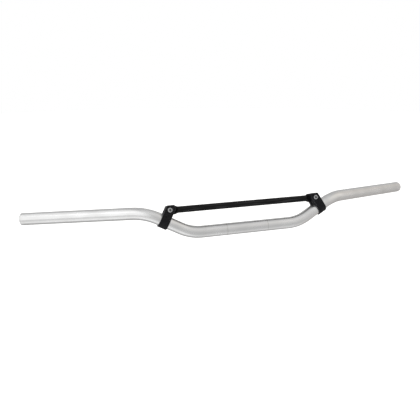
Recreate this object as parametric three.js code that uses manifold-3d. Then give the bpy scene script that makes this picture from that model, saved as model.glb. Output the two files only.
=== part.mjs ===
// Motorcycle handlebar: a bent tube with a bolted crossbar.
// Millimetres. Origin at the middle of the fork-clamp zone, on the tube's axis. +X runs along the
// width towards the clutch side, +Y towards the rider and +Z up.
// The model is drawn in the rise plane, with y across that plane and z along the rise, and one group
// then leans it back by RISE_LEAN.

import * as THREE from 'three';
import { mergeVertices } from 'three/addons/utils/BufferGeometryUtils.js';
import Module from 'manifold-3d';

const wasm = await Module();
wasm.setup();

const { degToRad } = THREE.MathUtils;

// Bar tube
const TUBE_RADIUS = 11.1;
const TUBE_WALL = 3.8;
const TUBE_SIDES = 32;
const BORE_SIDES = 16;
const CENTRE_HALF_LENGTH = 86;
const INNER_BEND_RADIUS = 80;
const RISE_ANGLE = degToRad(28.4);
const RISE_LENGTH = 45;
const OUTER_BEND_RADIUS = 85;
const GRIP_LENGTH = 203;
const GRIP_SWEEP = degToRad(20.1);
const GRIP_UPSWEEP = degToRad(2.8);
const BEND_STEPS = 8;
const RISE_LEAN = degToRad(20);

// Crossbar: a round bar with ends pressed flat around the bolt holes
const CROSSBAR_RADIUS = 6;
const CROSSBAR_SIDES = 24;
const EYE_HALF_HEIGHT = 8.2;
const EYE_HALF_THICKNESS = 2.2;
const EYE_FLAT_LENGTH = 9.5;
const EYE_BLEND_LENGTH = 7;
const EYE_END_STEPS = 7;
const EYE_TIP_SHARE = 0.985;
const EYE_BLEND_STEPS = 6;

// Crossbar clamps: s runs along the tube (outboard), h square to it in the rise plane
const CLAMP_ALONG_RISE = 32.7;
const BOLT_OFFSET = 21.2;
const CLAMP_HALF_WIDTH = 8.4;
const CLAMP_RADIUS = 13.6;
const CLAMP_BORE_RADIUS = 11.55;
const REAR_EAR = 9.2;
const FOOT_TURN = degToRad(12);
const FOOT_FILLET = 3;
const SLOT_HALF_WIDTH = 2.6;
const EAR_ABOVE_BOLT = 8.8;
const INBOARD_CORNER = 5;
const OUTBOARD_CORNER = 2.5;
const TRIMMED_CORNER = 1;
const HOLE_RADIUS = 2.85;
const COUNTERBORE_RADIUS = 5.3;
const COUNTERBORE_FLOOR = -6.4;
const NUT_POCKET_FLOOR = 4.8;

// Fasteners, M5
const GAP = 0.3;
const SHANK_RADIUS = 2.5;
const SHANK_LENGTH = 20;
const HEAD_RADIUS = 4.25;
const HEAD_HEIGHT = 5;
const HEAD_CHAMFER = 0.5;
const SOCKET_FLATS = 4;
const SOCKET_DEPTH = 2.6;
const WASHER_RADIUS = 4.6;
const WASHER_THICKNESS = 1.2;
const WASHER_SPLIT = degToRad(14);
const NUT_FLATS = 8;
const NUT_HEIGHT = 4;
const NUT_EASE = 0.5;
const FASTENER_SIDES = 24;

// Fineness of the round shapes, how far a cutting shape runs past what it cuts, and how near two
// vertices are when they count as one
const ROUND_SIDES = 48;
const BAND_SEGMENTS = 24;
const CORNER_SEGMENTS = 4;
const CUT_MARGIN = 5;
const SAME_VERTEX = 1e-4;

const ALUMINIUM = { color: 0xc6c6c4, roughness: 0.42, metalness: 0.9 };
const BLACK_STEEL = { color: 0x1c1c1d, roughness: 0.5, metalness: 0.3 };
const BLACK_CASTING = { color: 0x151517, roughness: 0.45, metalness: 0.2 };
const ZINC = { color: 0xa9a9a8, roughness: 0.35, metalness: 0.95 };

/** A named mesh with a material of its own. */
function part(name, geometry, finish) {
  const mesh = new THREE.Mesh(geometry, new THREE.MeshStandardMaterial(finish));
  mesh.name = name;
  return mesh;
}

/** A closed geometry as a manifold solid, without the collapsed triangles at a lathe's poles. */
function solid(geometry) {
  const bare = geometry.clone();
  bare.deleteAttribute('normal');
  bare.deleteAttribute('uv');
  const merged = mergeVertices(bare, SAME_VERTEX);
  const corners = [];
  for (let first = 0; first < merged.index.count; first += 3) {
    const [a, b, c] = [0, 1, 2].map((corner) => merged.index.getX(first + corner));
    if (a !== b && b !== c && c !== a) {
      corners.push(a, b, c);
    }
  }
  const vertProperties = new Float32Array(merged.attributes.position.array);
  const triVerts = new Uint32Array(corners);
  return new wasm.Manifold(new wasm.Mesh({ numProp: 3, vertProperties, triVerts }));
}

/** A manifold solid as a geometry. */
function geometryOf(manifold) {
  const mesh = manifold.getMesh();
  const geometry = new THREE.BufferGeometry();
  geometry.setAttribute('position', new THREE.BufferAttribute(mesh.vertProperties, 3));
  geometry.setIndex(new THREE.BufferAttribute(mesh.triVerts, 1));
  const flat = geometry.toNonIndexed();
  flat.computeVertexNormals();
  return flat;
}

/** A cylinder, or a prism with few sides, along y from one height to another. */
function plug(radius, from, to, sides) {
  const geometry = new THREE.CylinderGeometry(radius, radius, to - from, sides);
  geometry.translate(0, (from + to) / 2, 0);
  return geometry;
}

/** The radius of a hexagon's corners from the distance across its flats. */
function hexCorner(acrossFlats) {
  return acrossFlats / Math.sqrt(3);
}

/** The tube's centreline: straights and arcs, with points only where the tube bends. */
class BarCentreline extends THREE.Curve {
  constructor() {
    super();
    const right = this.halfStations();
    const left = right.map(({ point, tangent }) => ({
      point: new THREE.Vector3(-point.x, point.y, point.z),
      tangent: new THREE.Vector3(tangent.x, -tangent.y, -tangent.z),
    }));
    this.stations = [...left.reverse(), ...right];
  }

  /** Stations from the clamp zone's edge out to the grip's end. */
  halfStations() {
    const along = new THREE.Vector3(1, 0, 0);
    const rise = new THREE.Vector3(Math.cos(RISE_ANGLE), 0, Math.sin(RISE_ANGLE));
    const grip = new THREE.Vector3(
      Math.cos(GRIP_UPSWEEP) * Math.cos(GRIP_SWEEP),
      Math.cos(GRIP_UPSWEEP) * Math.sin(GRIP_SWEEP),
      Math.sin(GRIP_UPSWEEP),
    );
    const clampEdge = new THREE.Vector3(CENTRE_HALF_LENGTH, 0, 0);
    const inner = this.bend(clampEdge, along, rise, INNER_BEND_RADIUS);
    const riseTop = inner.at(-1).point.clone().addScaledVector(rise, RISE_LENGTH);
    const outer = this.bend(riseTop, rise, grip, OUTER_BEND_RADIUS);
    const end = outer.at(-1).point.clone().addScaledVector(grip, GRIP_LENGTH);
    return [...inner, ...outer, { point: end, tangent: grip }];
  }

  /** An arc that turns one direction into another. */
  bend(start, from, to, radius) {
    const axis = from.clone().cross(to).normalize();
    const angle = from.angleTo(to);
    const spoke = from.clone().cross(axis).multiplyScalar(radius);
    const centre = start.clone().sub(spoke);
    const stations = [];
    for (let step = 0; step <= BEND_STEPS; step += 1) {
      const turn = (angle * step) / BEND_STEPS;
      const point = spoke.clone().applyAxisAngle(axis, turn).add(centre);
      const tangent = from.clone().applyAxisAngle(axis, turn);
      stations.push({ point, tangent });
    }
    return stations;
  }

  getUtoTmapping(u) {
    return u;
  }

  /** The two stations around t, and how far t is between them. */
  span(t) {
    const place = t * (this.stations.length - 1);
    const first = Math.min(Math.floor(place), this.stations.length - 2);
    return { before: this.stations[first], after: this.stations[first + 1], part: place - first };
  }

  getPoint(t, target = new THREE.Vector3()) {
    const { before, after, part: fraction } = this.span(t);
    return target.lerpVectors(before.point, after.point, fraction);
  }

  getTangent(t, target = new THREE.Vector3()) {
    const { before, after, part: fraction } = this.span(t);
    return target.lerpVectors(before.tangent, after.tangent, fraction).normalize();
  }
}

/** A regular polygon whose flats touch the circle of the given radius. */
function polygonPoints(radius, sides) {
  const corner = radius / Math.cos(Math.PI / sides);
  const points = [];
  for (let side = 0; side < sides; side += 1) {
    const turn = (2 * Math.PI * side) / sides;
    points.push(new THREE.Vector2(corner * Math.cos(turn), corner * Math.sin(turn)));
  }
  return points;
}

/** The bent tube, open at both ends. */
function barTube() {
  const centreline = new BarCentreline();
  const section = new THREE.Shape(polygonPoints(TUBE_RADIUS, TUBE_SIDES));
  section.holes.push(new THREE.Path(polygonPoints(TUBE_RADIUS - TUBE_WALL, BORE_SIDES)));
  const steps = centreline.stations.length - 1;
  return new THREE.ExtrudeGeometry(section, { steps, extrudePath: centreline });
}

/** The point on the tube's axis under a clamp, in the rise plane. */
function clampCentre() {
  const bendEnd = CENTRE_HALF_LENGTH + INNER_BEND_RADIUS * Math.sin(RISE_ANGLE);
  const bendRise = INNER_BEND_RADIUS * (1 - Math.cos(RISE_ANGLE));
  return new THREE.Vector3(
    bendEnd + CLAMP_ALONG_RISE * Math.cos(RISE_ANGLE),
    0,
    bendRise + CLAMP_ALONG_RISE * Math.sin(RISE_ANGLE),
  );
}

/** The bolt axis of the clutch-side clamp, in the rise plane. */
function boltCentre() {
  const square = new THREE.Vector3(-Math.sin(RISE_ANGLE), 0, Math.cos(RISE_ANGLE));
  return clampCentre().addScaledVector(square, BOLT_OFFSET);
}

/** Half-height and half-thickness of the crossbar at a distance from its bolt axis, inboard positive. */
function crossbarSection(inboard) {
  if (inboard < 0) {
    const height = Math.sqrt(Math.max(EYE_HALF_HEIGHT ** 2 - inboard ** 2, 0));
    return { height, thickness: EYE_HALF_THICKNESS };
  }
  const blend = THREE.MathUtils.smoothstep(inboard, EYE_FLAT_LENGTH, EYE_FLAT_LENGTH + EYE_BLEND_LENGTH);
  return {
    height: THREE.MathUtils.lerp(EYE_HALF_HEIGHT, CROSSBAR_RADIUS, blend),
    thickness: THREE.MathUtils.lerp(EYE_HALF_THICKNESS, CROSSBAR_RADIUS, blend),
  };
}

/** Distances from the bolt axis at which the crossbar's section is set, outer end first. */
function crossbarStations() {
  const stations = [];
  for (let step = 0; step <= EYE_END_STEPS; step += 1) {
    const turn = (Math.PI / 2) * (step / EYE_END_STEPS);
    stations.push(-EYE_HALF_HEIGHT * EYE_TIP_SHARE * Math.cos(turn));
  }
  for (let step = 0; step <= EYE_BLEND_STEPS; step += 1) {
    stations.push(EYE_FLAT_LENGTH + (EYE_BLEND_LENGTH * step) / EYE_BLEND_STEPS);
  }
  return stations;
}

/** The crossbar: one closed skin over rings that change from flat eyes to a round bar. */
function crossbar() {
  const reach = boltCentre().x;
  const half = crossbarStations();
  const rings = half.map((inboard) => ({ x: -reach + inboard, ...crossbarSection(inboard) }));
  rings.push(...rings.map(({ x, height, thickness }) => ({ x: -x, height, thickness })).reverse());
  const positions = [];
  for (const { x, height, thickness } of rings) {
    const straight = Math.max(height - thickness, 0);
    for (let side = 0; side < CROSSBAR_SIDES; side += 1) {
      const turn = (2 * Math.PI * (side + 0.5)) / CROSSBAR_SIDES;
      const round = Math.min(height, thickness);
      const lift = Math.sin(turn) > 0 ? straight : -straight;
      positions.push(x, round * Math.cos(turn), round * Math.sin(turn) + lift);
    }
  }
  const indices = [];
  const ringCount = rings.length;
  for (let ring = 0; ring < ringCount - 1; ring += 1) {
    for (let side = 0; side < CROSSBAR_SIDES; side += 1) {
      const next = (side + 1) % CROSSBAR_SIDES;
      const a = ring * CROSSBAR_SIDES + side;
      const b = ring * CROSSBAR_SIDES + next;
      const c = a + CROSSBAR_SIDES;
      const d = b + CROSSBAR_SIDES;
      indices.push(a, b, d, a, d, c);
    }
  }
  const last = (ringCount - 1) * CROSSBAR_SIDES;
  for (let side = 1; side < CROSSBAR_SIDES - 1; side += 1) {
    indices.push(0, side + 1, side);
    indices.push(last, last + side, last + side + 1);
  }
  const skin = new THREE.BufferGeometry();
  skin.setAttribute('position', new THREE.Float32BufferAttribute(positions, 3));
  skin.setIndex(indices);
  let bar = solid(skin);
  for (const side of [-1, 1]) {
    const hole = plug(HOLE_RADIUS, -CUT_MARGIN, CUT_MARGIN, FASTENER_SIDES);
    hole.translate(side * reach, 0, 0);
    bar = bar.subtract(solid(hole));
  }
  const geometry = geometryOf(bar);
  geometry.translate(0, 0, boltCentre().z);
  return geometry;
}

/** A closed outline with rounded corners; each corner is [x, y, radius]. */
function roundedOutline(corners) {
  const shape = new THREE.Shape();
  corners.forEach(([x, y, radius], index) => {
    const [px, py] = corners[(index + corners.length - 1) % corners.length];
    const [nx, ny] = corners[(index + 1) % corners.length];
    const corner = new THREE.Vector2(x, y);
    const back = new THREE.Vector2(px, py).sub(corner).normalize();
    const ahead = new THREE.Vector2(nx, ny).sub(corner).normalize();
    const halfAngle = Math.acos(back.dot(ahead)) / 2;
    const setback = radius / Math.tan(halfAngle);
    const centre = back.clone().add(ahead).normalize().multiplyScalar(radius / Math.sin(halfAngle));
    centre.add(corner);
    const start = corner.clone().addScaledVector(back, setback).sub(centre);
    const end = corner.clone().addScaledVector(ahead, setback).sub(centre);
    const clockwise = back.cross(ahead) > 0;
    shape.absarc(centre.x, centre.y, radius, start.angle(), end.angle(), clockwise);
  });
  return shape;
}

/** A clamp seen along the tube: a round band whose front runs straight up into the thick ear. */
function clampProfile() {
  const top = BOLT_OFFSET + CLAMP_RADIUS + CUT_MARGIN;
  const meet = Math.acos(REAR_EAR / CLAMP_RADIUS);
  const foot = CLAMP_RADIUS * Math.sin(meet);
  const profile = new THREE.Shape();
  profile.moveTo(-CLAMP_RADIUS, top);
  profile.lineTo(-CLAMP_RADIUS, 0);
  profile.absarc(0, 0, CLAMP_RADIUS, Math.PI, 2 * Math.PI + meet - FOOT_TURN, false);
  profile.quadraticCurveTo(REAR_EAR, foot, REAR_EAR, foot + FOOT_FILLET);
  profile.lineTo(REAR_EAR, top);
  return profile;
}

/** The front outline of a clamp: straight sides, with a top that runs level with the crossbar. Its
 * foot lies below the band, where the clamp's own profile trims it. */
function clampOutline(side) {
  const slope = Math.tan(RISE_ANGLE);
  const middle = BOLT_OFFSET + EAR_ABOVE_BOLT / Math.cos(RISE_ANGLE);
  const bottom = -CLAMP_RADIUS - CUT_MARGIN;
  const outboard = side * CLAMP_HALF_WIDTH;
  return roundedOutline([
    [outboard, bottom, TRIMMED_CORNER],
    [outboard, middle - slope * CLAMP_HALF_WIDTH, OUTBOARD_CORNER],
    [-outboard, middle + slope * CLAMP_HALF_WIDTH, INBOARD_CORNER],
    [-outboard, bottom, TRIMMED_CORNER],
  ]);
}

/** A clamp with its tube's axis along x, its bolt along y and its ears upward. */
function clamp(side) {
  const along = new THREE.ExtrudeGeometry(clampProfile(), {
    depth: 2 * CLAMP_HALF_WIDTH,
    bevelEnabled: false,
    curveSegments: BAND_SEGMENTS,
  });
  along.translate(0, 0, -CLAMP_HALF_WIDTH);
  along.rotateY(Math.PI / 2);
  along.rotateX(Math.PI / 2);
  const across = new THREE.ExtrudeGeometry(clampOutline(side), {
    depth: 4 * CLAMP_RADIUS,
    bevelEnabled: false,
    curveSegments: CORNER_SEGMENTS,
  });
  across.translate(0, 0, -2 * CLAMP_RADIUS);
  across.rotateX(Math.PI / 2);
  const bore = plug(CLAMP_BORE_RADIUS, -2 * CLAMP_HALF_WIDTH, 2 * CLAMP_HALF_WIDTH, ROUND_SIDES);
  bore.rotateZ(Math.PI / 2);
  const slotHeight = 2 * BOLT_OFFSET;
  const slot = new THREE.BoxGeometry(4 * CLAMP_HALF_WIDTH, 2 * SLOT_HALF_WIDTH, slotHeight);
  slot.translate(0, 0, slotHeight / 2);
  const cuts = [
    plug(HOLE_RADIUS, -2 * CLAMP_RADIUS, 2 * CLAMP_RADIUS, FASTENER_SIDES),
    plug(COUNTERBORE_RADIUS, -2 * CLAMP_RADIUS, COUNTERBORE_FLOOR, ROUND_SIDES),
    plug(hexCorner(NUT_FLATS + 2 * GAP), NUT_POCKET_FLOOR, 2 * CLAMP_RADIUS, 6),
  ];
  cuts.forEach((cut) => cut.translate(0, 0, BOLT_OFFSET));
  let body = solid(along).intersect(solid(across));
  for (const cut of [bore, slot, ...cuts]) {
    body = body.subtract(solid(cut));
  }
  return geometryOf(body);
}

/** A socket-head cap screw along y, head towards -y, its head's underside at y = 0. */
function bolt() {
  const outline = [
    [0, -HEAD_HEIGHT],
    [HEAD_RADIUS - HEAD_CHAMFER, -HEAD_HEIGHT],
    [HEAD_RADIUS, HEAD_CHAMFER - HEAD_HEIGHT],
    [HEAD_RADIUS, 0],
    [SHANK_RADIUS, 0],
    [SHANK_RADIUS, SHANK_LENGTH - HEAD_CHAMFER],
    [SHANK_RADIUS - HEAD_CHAMFER, SHANK_LENGTH],
    [0, SHANK_LENGTH],
  ].map(([radius, y]) => new THREE.Vector2(radius, y));
  const body = new THREE.LatheGeometry(outline, FASTENER_SIDES);
  const socket = plug(hexCorner(SOCKET_FLATS), -HEAD_HEIGHT - CUT_MARGIN, SOCKET_DEPTH - HEAD_HEIGHT, 6);
  return geometryOf(solid(body).subtract(solid(socket)));
}

/** A split lock washer pressed flat, along y from 0. */
function lockWasher() {
  const ring = new THREE.Shape();
  ring.absarc(0, 0, WASHER_RADIUS, WASHER_SPLIT, 2 * Math.PI, false);
  ring.absarc(0, 0, HOLE_RADIUS, 2 * Math.PI, WASHER_SPLIT, true);
  const geometry = new THREE.ExtrudeGeometry(ring, {
    depth: WASHER_THICKNESS,
    bevelEnabled: false,
    curveSegments: FASTENER_SIDES,
  });
  geometry.rotateX(-Math.PI / 2);
  return geometry;
}

/** A hexagon nut along y from 0, its corners eased at both faces. */
function nut() {
  const corner = hexCorner(NUT_FLATS);
  const outline = [
    [0, 0],
    [corner - NUT_EASE, 0],
    [corner + NUT_EASE, NUT_EASE],
    [corner + NUT_EASE, NUT_HEIGHT - NUT_EASE],
    [corner - NUT_EASE, NUT_HEIGHT],
    [0, NUT_HEIGHT],
  ].map(([radius, y]) => new THREE.Vector2(radius, y));
  const turned = solid(new THREE.LatheGeometry(outline, FASTENER_SIDES));
  const hexagon = solid(plug(corner, -CUT_MARGIN, NUT_HEIGHT + CUT_MARGIN, 6));
  const hole = solid(plug(HOLE_RADIUS, -CUT_MARGIN, NUT_HEIGHT + CUT_MARGIN, FASTENER_SIDES));
  return geometryOf(turned.intersect(hexagon).subtract(hole));
}

/** One side's clamp, bolt, washer and nut, in a group that stands square to the rise. */
function clampStack(name, side) {
  const headSeat = COUNTERBORE_FLOOR - 2 * GAP - WASHER_THICKNESS;
  const washerSeat = COUNTERBORE_FLOOR - GAP - WASHER_THICKNESS;
  const nutSeat = NUT_POCKET_FLOOR + GAP;
  const casting = part(`${name}_clamp`, clamp(side), BLACK_CASTING);
  const screw = part(`${name}_bolt`, bolt(), ZINC);
  screw.position.set(0, headSeat, BOLT_OFFSET);
  const washer = part(`${name}_lock_washer`, lockWasher(), ZINC);
  washer.position.set(0, washerSeat, BOLT_OFFSET);
  const hexNut = part(`${name}_nut`, nut(), ZINC);
  hexNut.position.set(0, nutSeat, BOLT_OFFSET);

  const { x, z } = clampCentre();
  const stack = new THREE.Group();
  stack.position.set(side * x, 0, z);
  stack.rotation.y = -side * RISE_ANGLE;
  stack.add(casting, screw, washer, hexNut);
  return stack;
}

const risePlane = new THREE.Group();
risePlane.rotation.x = -RISE_LEAN;
risePlane.add(part('bar_tube', barTube(), ALUMINIUM));
risePlane.add(part('crossbar', crossbar(), BLACK_STEEL));
risePlane.add(clampStack('clutch_side', 1));
risePlane.add(clampStack('throttle_side', -1));

const handlebar = new THREE.Group();
handlebar.add(risePlane);

export default handlebar;
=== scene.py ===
"""A motorcycle handlebar with a bolted crossbar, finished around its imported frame.

The frame sets every size and place. Each sub-assembly below is a class that holds its sizes in
millimetres, works its surfaces out as whole numpy arrays and dresses them. Shapes are drawn in the
rise plane, with x along the width, y across the plane and z along the rise, and are then leaned back
into the frame.
"""

import logging
import math
from dataclasses import dataclass, field
from enum import Enum
from typing import Any

import bpy
import numpy as np
from mathutils import Matrix, Vector


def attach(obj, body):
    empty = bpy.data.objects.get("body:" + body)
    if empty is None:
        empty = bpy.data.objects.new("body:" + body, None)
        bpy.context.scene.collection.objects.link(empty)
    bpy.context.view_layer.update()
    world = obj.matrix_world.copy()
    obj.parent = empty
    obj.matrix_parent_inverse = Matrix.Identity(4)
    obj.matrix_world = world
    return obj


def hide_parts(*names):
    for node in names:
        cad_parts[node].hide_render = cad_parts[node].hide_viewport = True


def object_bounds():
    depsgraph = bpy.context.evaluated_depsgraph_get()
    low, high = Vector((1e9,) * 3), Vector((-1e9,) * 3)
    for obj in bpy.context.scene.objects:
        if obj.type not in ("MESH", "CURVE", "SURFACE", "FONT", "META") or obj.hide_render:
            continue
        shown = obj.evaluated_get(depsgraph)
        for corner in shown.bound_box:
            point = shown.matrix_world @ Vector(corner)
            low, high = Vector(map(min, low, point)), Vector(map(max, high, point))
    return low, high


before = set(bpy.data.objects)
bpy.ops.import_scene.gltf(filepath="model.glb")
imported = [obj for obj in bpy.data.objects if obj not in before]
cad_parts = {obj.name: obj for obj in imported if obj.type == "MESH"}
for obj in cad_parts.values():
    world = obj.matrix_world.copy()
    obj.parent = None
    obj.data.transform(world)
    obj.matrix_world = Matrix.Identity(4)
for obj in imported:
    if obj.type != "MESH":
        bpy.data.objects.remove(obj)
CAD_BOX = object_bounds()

LOG = logging.getLogger("handlebar")
MM = 0.001
TURN = 2.0 * math.pi
# Half the length in millimetres of the solids that cut right through a clamp.
PAST = 30.0
HOLE_SIDES = 48
EASED_CORNER = math.radians(32)
SHARP_CORNER = math.radians(38)
EDGE = "edge"
RECESS = "recess"
STRAIGHT = "straight"


class Side(Enum):
    """The two halves of the bar, named for the rider's hands, with their direction along X."""

    THROTTLE = -1
    CLUTCH = 1

    @property
    def label(self) -> str:
        """The prefix of this side's node and piece names."""
        return f"{self.name.lower()}_side"


class Shading(Enum):
    """How a piece's normals are drawn."""

    ROUND = "round"
    MACHINED = "machined"


# ---------------------------------------------------------------------------------------------
# Meshes
# ---------------------------------------------------------------------------------------------


def make_object(name: str, mesh: bpy.types.Mesh) -> bpy.types.Object:
    """Link a mesh into the scene.

    Args:
        name: The piece's name.
        mesh: Its mesh.

    Returns:
        The new object, at the origin.
    """
    piece = bpy.data.objects.new(name, mesh)
    bpy.context.scene.collection.objects.link(piece)
    return piece


def mesh_from(name: str, points: np.ndarray, faces: list[list[int]]) -> bpy.types.Mesh:
    """Make a mesh from points in millimetres.

    Args:
        name: The mesh's name.
        points: An (n, 3) array in millimetres.
        faces: Vertex indices of each face, turning anticlockwise seen from outside.

    Returns:
        The mesh, in metres.
    """
    mesh = bpy.data.meshes.new(name)
    mesh.from_pydata((points * MM).tolist(), [], faces)
    mesh.validate()
    mesh.update()
    return mesh


def ring_faces(rows: int, around: int, closed: bool) -> np.ndarray:
    """Quads between neighbouring rings of points.

    Face (i, j) joins points j and j + 1 of ring i to the same two of ring i + 1, and j wraps round.

    Args:
        rows: The number of rings.
        around: The number of points in each ring.
        closed: Whether the last ring joins the first.

    Returns:
        An (m, 4) array of vertex indices.
    """
    steps = rows if closed else rows - 1
    row, column = np.meshgrid(np.arange(steps), np.arange(around), indexing="ij")
    after, beside = (row + 1) % rows, (column + 1) % around
    corners = ((row, column), (row, beside), (after, beside), (after, column))
    return np.stack([ring * around + place for ring, place in corners], axis=-1).reshape(-1, 4)


def skin(name: str, grid: np.ndarray, closed: bool = False) -> bpy.types.Mesh:
    """A closed skin over a grid of rings.

    Args:
        name: The mesh's name.
        grid: An (rows, around, 3) array in millimetres.
        closed: Whether the last ring joins the first; otherwise a flat face closes each end.

    Returns:
        The mesh.
    """
    rows, around, _ = grid.shape
    faces = ring_faces(rows, around, closed).tolist()
    if not closed:
        first, last = np.arange(around), (rows - 1) * around + np.arange(around)
        faces += [first[::-1].tolist(), last.tolist()]
    return mesh_from(name, grid.reshape(-1, 3), faces)


def turned_grid(profile: np.ndarray, around: int) -> np.ndarray:
    """A profile turned round the y axis.

    The point at angle a of a profile point (r, y) is (r cos a, y, -r sin a), so that a profile that
    runs towards +y has its outside outward.

    Args:
        profile: A (rows, 2) or (rows, around, 2) array of radius and y in millimetres.
        around: The number of points in each ring.

    Returns:
        A (rows, around, 3) array.
    """
    angle = np.arange(around) * TURN / around
    full = profile if profile.ndim == 3 else np.repeat(profile[:, None, :], around, axis=1)
    radius, height = full[..., 0], full[..., 1]
    return np.stack((radius * np.cos(angle), height, -radius * np.sin(angle)), axis=-1)


def cylinder(name: str, radius: float, start: float, end: float, around: int) -> bpy.types.Mesh:
    """A cylinder, or a prism with few sides, along y in millimetres."""
    profile = np.array([[radius, start], [radius, end]])
    return skin(name, turned_grid(profile, around))


def prism(name: str, outline: np.ndarray, start: float, end: float) -> bpy.types.Mesh:
    """An outline carried straight along z.

    Args:
        name: The mesh's name.
        outline: An (n, 2) array in millimetres, anticlockwise.
        start: Its lowest z.
        end: Its highest z.

    Returns:
        The mesh.
    """
    low = np.column_stack((outline, np.full(len(outline), start)))
    high = np.column_stack((outline, np.full(len(outline), end)))
    return skin(name, np.stack((low, high)))


def finished(piece: bpy.types.Object) -> bpy.types.Object:
    """Replace a piece's mesh by what its modifiers make of it.

    Args:
        piece: The piece.

    Returns:
        The same piece, without modifiers.
    """
    depsgraph = bpy.context.evaluated_depsgraph_get()
    mesh = bpy.data.meshes.new_from_object(piece.evaluated_get(depsgraph))
    mesh.name = piece.name
    piece.modifiers.clear()
    piece.data = mesh
    return piece


def cut(piece: bpy.types.Object, tool: bpy.types.Mesh, operation: str = "DIFFERENCE") -> bpy.types.Object:
    """Cut a piece with another closed mesh and throw the tool away.

    Args:
        piece: The piece to cut.
        tool: The cutting mesh, in the piece's own space.
        operation: DIFFERENCE or INTERSECT.

    Returns:
        The piece.
    """
    cutter = make_object("cutter", tool)
    modifier = piece.modifiers.new("cut", "BOOLEAN")
    modifier.operation = operation
    modifier.solver = "EXACT"
    modifier.object = cutter
    finished(piece)
    bpy.data.objects.remove(cutter)
    return piece


def ease_edges(piece: bpy.types.Object, width: float, segments: int = 3) -> bpy.types.Object:
    """Round a piece's sharp edges, and mark where they are rounded.

    The edge attribute of a vertex is 1 where every face round it belongs to the rounding, so that it
    fades to 0 across the outermost step.

    Args:
        piece: The piece.
        width: The width of the rounding in millimetres.
        segments: The number of steps across it.

    Returns:
        The piece.
    """
    piece.data.materials.clear()
    for _ in range(2):
        piece.data.materials.append(None)
    modifier = piece.modifiers.new("ease", "BEVEL")
    modifier.width = width * MM
    modifier.segments = segments
    modifier.limit_method = "ANGLE"
    modifier.angle_limit = EASED_CORNER
    modifier.use_clamp_overlap = True
    modifier.material = 1
    mesh = finished(piece).data
    rounded = np.zeros(len(mesh.polygons), dtype=np.int32)
    mesh.polygons.foreach_get("material_index", rounded)
    sizes, corners = np.zeros(len(rounded), dtype=np.int32), np.zeros(len(mesh.loops), dtype=np.int32)
    mesh.polygons.foreach_get("loop_total", sizes)
    mesh.loops.foreach_get("vertex_index", corners)
    mark = np.ones(len(mesh.vertices), dtype=np.float32)
    np.minimum.at(mark, corners, np.repeat(rounded, sizes).astype(np.float32))
    mark_points(mesh, EDGE, mark)
    mesh.polygons.foreach_set("material_index", np.zeros_like(rounded))
    mesh.materials.clear()
    return piece


def mark_points(mesh: bpy.types.Mesh, name: str, values: np.ndarray) -> None:
    """Give each vertex of a mesh a value that a finish can read.

    Args:
        mesh: The mesh.
        name: The attribute's name.
        values: One value for each vertex, from 0 to 1.
    """
    mesh.attributes.new(name, "FLOAT", "POINT").data.foreach_set("value", values.astype(np.float32))


def shade(mesh: bpy.types.Mesh, shading: Shading) -> None:
    """Draw a mesh smooth, with the corners of a machined piece kept sharp.

    Args:
        mesh: The mesh.
        shading: Whether it has corners.
    """
    mesh.shade_smooth()
    if shading is Shading.MACHINED:
        mesh.set_sharp_from_angle(angle=SHARP_CORNER)


def dressed(piece: bpy.types.Object, body: str, node: str) -> bpy.types.Object:
    """Hand a piece to the frame.

    Args:
        piece: The piece.
        body: The body that it rides on.
        node: The CAD node that it stands for.

    Returns:
        The piece.
    """
    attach(piece, body)
    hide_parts(node)
    LOG.info("%s: %d faces, rides on %s", piece.name, len(piece.data.polygons), body)
    return piece


# ---------------------------------------------------------------------------------------------
# Finishes
# ---------------------------------------------------------------------------------------------


def linear(colour: str) -> tuple[float, float, float, float]:
    """An sRGB hex colour as linear RGBA.

    Each channel c becomes c / 12.92 up to 0.04045, and ((c + 0.055) / 1.055)^2.4 above it.

    Args:
        colour: The colour, such as #F4F4F2.

    Returns:
        Red, green, blue and an alpha of 1.
    """
    channels = np.array([int(colour[place : place + 2], 16) for place in (1, 3, 5)]) / 255
    lit = np.where(channels <= 0.04045, channels / 12.92, ((channels + 0.055) / 1.055) ** 2.4)
    return (*lit.tolist(), 1.0)


def add_node(
    tree: bpy.types.NodeTree,
    kind: str,
    settings: dict[str, Any] | None = None,
    inputs: dict[str | int, Any] | None = None,
) -> bpy.types.Node:
    """Add one node, with its settings, its values and its links.

    Args:
        tree: The node tree.
        kind: The node's type, without the ShaderNode prefix.
        settings: Properties of the node itself.
        inputs: Values or output sockets for its inputs, by name or number.

    Returns:
        The node.
    """
    node = tree.nodes.new(f"ShaderNode{kind}")
    for name, value in (settings or {}).items():
        setattr(node, name, value)
    for name, value in (inputs or {}).items():
        if isinstance(value, bpy.types.NodeSocket):
            tree.links.new(value, node.inputs[name])
        else:
            node.inputs[name].default_value = value
    return node


def blended(tree: bpy.types.NodeTree, pattern: bpy.types.NodeSocket, low: tuple[float, str],
            high: tuple[float, str]) -> bpy.types.NodeSocket:
    """A colour that turns evenly from one to another as a pattern rises.

    Args:
        tree: The node tree.
        pattern: The pattern's value.
        low: The value at which the change starts, and the colour below it.
        high: The value at which the change ends, and the colour above it.

    Returns:
        The colour.
    """
    (start, first), (end, second) = low, high
    share = add_node(tree, "MapRange", inputs={"Value": pattern, "From Min": start, "From Max": end})
    mixed = add_node(tree, "Mix", {"data_type": "RGBA"},
                     {"Factor": share.outputs[0], 6: linear(first), 7: linear(second)})
    return mixed.outputs[2]


def new_material(name: str) -> tuple[bpy.types.Material, bpy.types.NodeTree, bpy.types.Node]:
    """An empty material with its shader.

    Args:
        name: The material's name.

    Returns:
        The material, its node tree and its Principled shader.
    """
    material = bpy.data.materials.new(name)
    material.use_nodes = True
    tree = material.node_tree
    tree.nodes.clear()
    shader = add_node(tree, "BsdfPrincipled")
    add_node(tree, "OutputMaterial", inputs={"Surface": shader.outputs["BSDF"]})
    return material, tree, shader


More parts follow.
